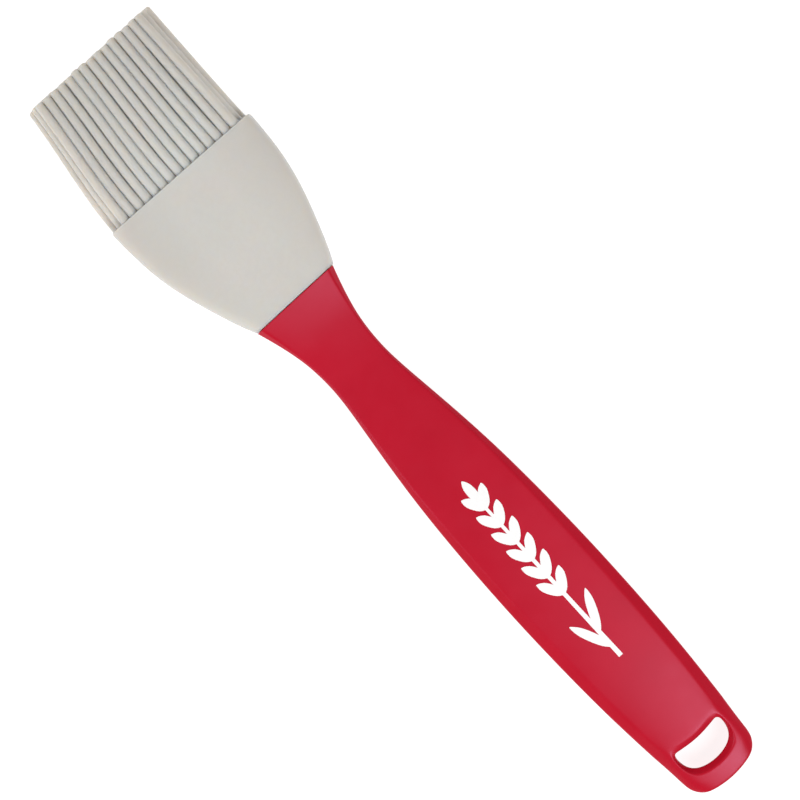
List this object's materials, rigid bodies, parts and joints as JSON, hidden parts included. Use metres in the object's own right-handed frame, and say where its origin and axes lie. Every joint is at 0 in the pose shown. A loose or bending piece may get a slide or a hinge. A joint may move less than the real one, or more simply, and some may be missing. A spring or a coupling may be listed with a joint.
{
  "type": "pastry brush",
  "caption": "Silicone basting and pastry brush: a moulded tuft head on a waisted plastic handle with a hanging hole; the head pulls off and the bristle rows bend.",
  "frame": {"origin": "on the rest plane under the back of the brush, at the middle of its length and width", "axes": "+Y along the brush towards the bristle tips, +Z out of the front face, +X across the brush; the brush lies on its back"},
  "size_m": [0.0398, 0.21, 0.014],
  "materials": {
    "red_plastic": "glossy moulded, deep red",
    "grey_silicone": "soft matt moulded silicone, warm light grey"
  },
  "bodies": {
    "handle": {"handle": "red_plastic"},
    "head": {"head_sleeve": "grey_silicone"},
    "row_1": {"bristle_row_1": "grey_silicone"},
    "row_2": {"bristle_row_2": "grey_silicone"},
    "row_3": {"bristle_row_3": "grey_silicone"},
    "row_4": {"bristle_row_4": "grey_silicone"},
    "row_5": {"bristle_row_5": "grey_silicone"}
  },
  "joints": [
    {"name": "head_pull_off", "type": "slide", "parent": "handle", "child": "head", "axis": [0, 1, 0], "range_m": [0, 0.03]},
    {"name": "bristle_row_1_bend", "type": "hinge", "parent": "head", "child": "row_1", "pos_m": [0, 0.07325, 0.0119], "axis": [0.9998, -0.0192, 0], "range_deg": [0, 40], "stiffness_Nm_per_rad": 0.003},
    {"name": "bristle_row_2_bend", "type": "hinge", "parent": "head", "child": "row_2", "pos_m": [0, 0.07325, 0.00945], "axis": [0.9998, -0.0192, 0], "range_deg": [0, 40], "stiffness_Nm_per_rad": 0.003},
    {"name": "bristle_row_3_bend", "type": "hinge", "parent": "head", "child": "row_3", "pos_m": [0, 0.07325, 0.007], "axis": [0.9998, -0.0192, 0], "range_deg": [0, 40], "stiffness_Nm_per_rad": 0.003},
    {"name": "bristle_row_4_bend", "type": "hinge", "parent": "head", "child": "row_4", "pos_m": [0, 0.07325, 0.00455], "axis": [0.9998, -0.0192, 0], "range_deg": [0, 40], "stiffness_Nm_per_rad": 0.003},
    {"name": "bristle_row_5_bend", "type": "hinge", "parent": "head", "child": "row_5", "pos_m": [0, 0.07325, 0.0021], "axis": [0.9998, -0.0192, 0], "range_deg": [0, 40], "stiffness_Nm_per_rad": 0.003}
  ],
  "couplings": [
    {"joint": "bristle_row_2_bend", "follows": "bristle_row_1_bend", "ratio": 1},
    {"joint": "bristle_row_3_bend", "follows": "bristle_row_1_bend", "ratio": 1},
    {"joint": "bristle_row_4_bend", "follows": "bristle_row_1_bend", "ratio": 1},
    {"joint": "bristle_row_5_bend", "follows": "bristle_row_1_bend", "ratio": 1}
  ]
}
